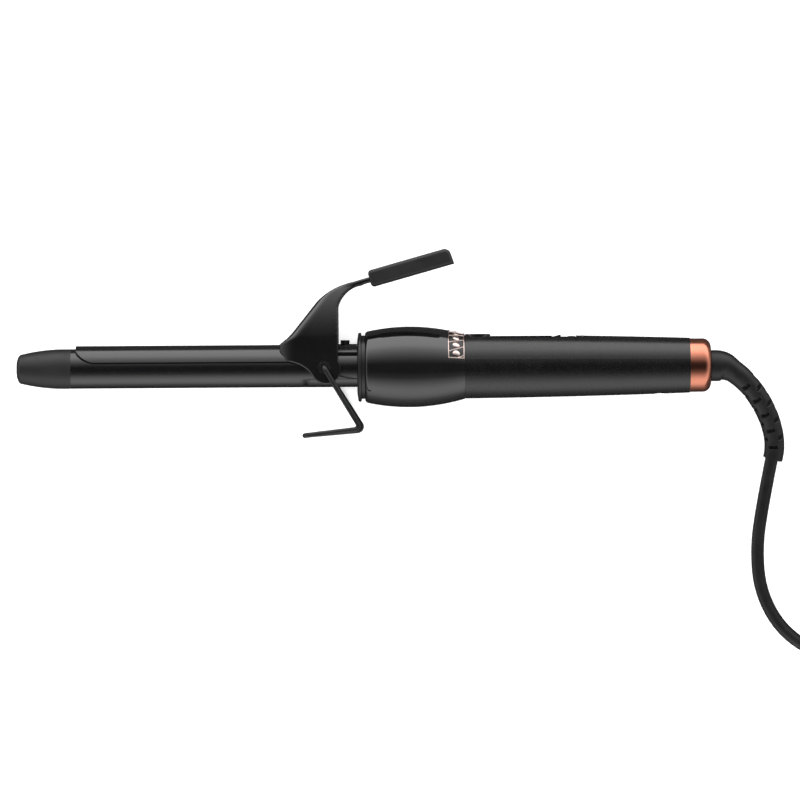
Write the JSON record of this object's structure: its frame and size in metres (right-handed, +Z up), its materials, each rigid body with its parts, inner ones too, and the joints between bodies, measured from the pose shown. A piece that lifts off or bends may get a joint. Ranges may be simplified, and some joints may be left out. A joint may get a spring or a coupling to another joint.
{
  "type": "curling iron",
  "caption": "Hair curling iron with a round barrel, a sprung clamp on a thumb lever, a wire stand, handle controls and a swivel mains cord.",
  "frame": {"origin": "on the surface that the iron lies on, under the middle of its box without the cord", "axes": "+X along the barrel from the cool tip to the cord end, +Y towards the thumb lever, +Z up from the surface that the iron lies on"},
  "size_m": [0.4888, 0.2058, 0.0387],
  "materials": {
    "tip_plastic": "matt heat-resistant plastic",
    "barrel_ceramic": "glossy black ceramic coating",
    "heater_aluminium": "raw extruded aluminium",
    "heater_ceramic": "grey heating ceramic",
    "insulating_film": "amber film",
    "brass": "bright brass",
    "steel": "zinc-plated steel",
    "bracket_steel": "black enamelled steel",
    "shield_plastic": "satin black heat-resistant plastic",
    "gloss_black": "glossy black",
    "socket_plastic": "dark glass-filled plastic",
    "rose_gold": "rose-gold mirror plating",
    "soft_black": "satin black",
    "clear_lens": "clear",
    "display": "dark display",
    "circuit_board": "green solder mask",
    "switch_plastic": "plain",
    "component_plastic": "plain",
    "lead_sleeve": "woven glass sleeve",
    "copper_satin": "satin copper plating",
    "thumb_rubber": "matt rubber",
    "stand_steel": "black enamelled steel wire",
    "button_black": "satin black",
    "relief_rubber": "matt black",
    "cord_jacket": "satin black jacket",
    "tie_plastic": "plain black",
    "plug_plastic": "fine matt black",
    "pin_brass": "nickel-plated brass"
  },
  "bodies": {
    "iron": {"tip_cap": "tip_plastic", "barrel_tube": "barrel_ceramic", "heater_block_upper": "heater_aluminium", "heater_block_lower": "heater_aluminium", "ceramic_heaters": "heater_ceramic", "electrode_strips": "brass", "insulating_sleeve": "insulating_film", "thermal_fuse": "steel", "pivot_bracket": "bracket_steel", "bracket_screw": "bracket_steel", "pivot_eyelets": "bracket_steel", "return_spring": "steel", "heat_shield": "shield_plastic", "neck_ring": "shield_plastic", "front_housing": "gloss_black", "barrel_socket": "socket_plastic", "trim_band": "rose_gold", "handle_upper": "soft_black", "handle_lower": "soft_black", "shell_screw": "steel", "button_bezel": "gloss_black", "display_lens": "clear_lens", "display_module": "display", "control_board": "circuit_board", "tact_switches": "switch_plastic", "board_screws": "steel", "board_components": "component_plastic", "heater_leads": "lead_sleeve", "mains_leads": "lead_sleeve", "end_cap": "copper_satin", "swivel_socket": "socket_plastic", "contact_rings": "brass"},
    "clamp": {"clamp_plate": "barrel_ceramic", "lever_saddle": "gloss_black", "thumb_pad": "thumb_rubber"},
    "stand": {"stand_wire": "stand_steel"},
    "power_button": {"power_button": "button_black"},
    "plus_button": {"plus_button": "button_black"},
    "minus_button": {"minus_button": "button_black"},
    "cord": {"swivel_hub": "socket_plastic", "contact_brushes": "brass", "strain_relief": "relief_rubber", "cord_tube": "cord_jacket", "cord_coil": "cord_jacket", "cord_tail": "cord_jacket", "coil_tie": "tie_plastic", "plug_relief": "relief_rubber", "plug_body": "plug_plastic", "plug_pins": "pin_brass"}
  },
  "joints": [
    {"name": "clamp_lever", "type": "hinge", "parent": "iron", "child": "clamp", "pos_m": [-0.0363, -0.0059, 0.01935], "axis": [0, 0, -1], "range_deg": [0, 24], "stiffness_Nm_per_rad": 0.12, "springref_deg": -20.05, "deforming": ["return_spring"]},
    {"name": "stand_swing", "type": "hinge", "parent": "iron", "child": "stand", "pos_m": [-0.0363, -0.0059, 0.01935], "axis": [0, 0, 1], "range_deg": [-50, 20]},
    {"name": "power_press", "type": "slide", "parent": "iron", "child": "power_button", "axis": [0, -1, 0], "range_m": [0, 0.0005], "stiffness_N_per_m": 400, "springref_m": -0.002},
    {"name": "plus_press", "type": "slide", "parent": "iron", "child": "plus_button", "axis": [0, -1, 0], "range_m": [0, 0.0005], "stiffness_N_per_m": 400, "springref_m": -0.002},
    {"name": "minus_press", "type": "slide", "parent": "iron", "child": "minus_button", "axis": [0, -1, 0], "range_m": [0, 0.0005], "stiffness_N_per_m": 400, "springref_m": -0.002},
    {"name": "cord_swivel", "type": "hinge", "parent": "iron", "child": "cord", "pos_m": [0.1471, -0.0059, 0.01935], "axis": [-1, 0, 0], "continuous": true}
  ]
}
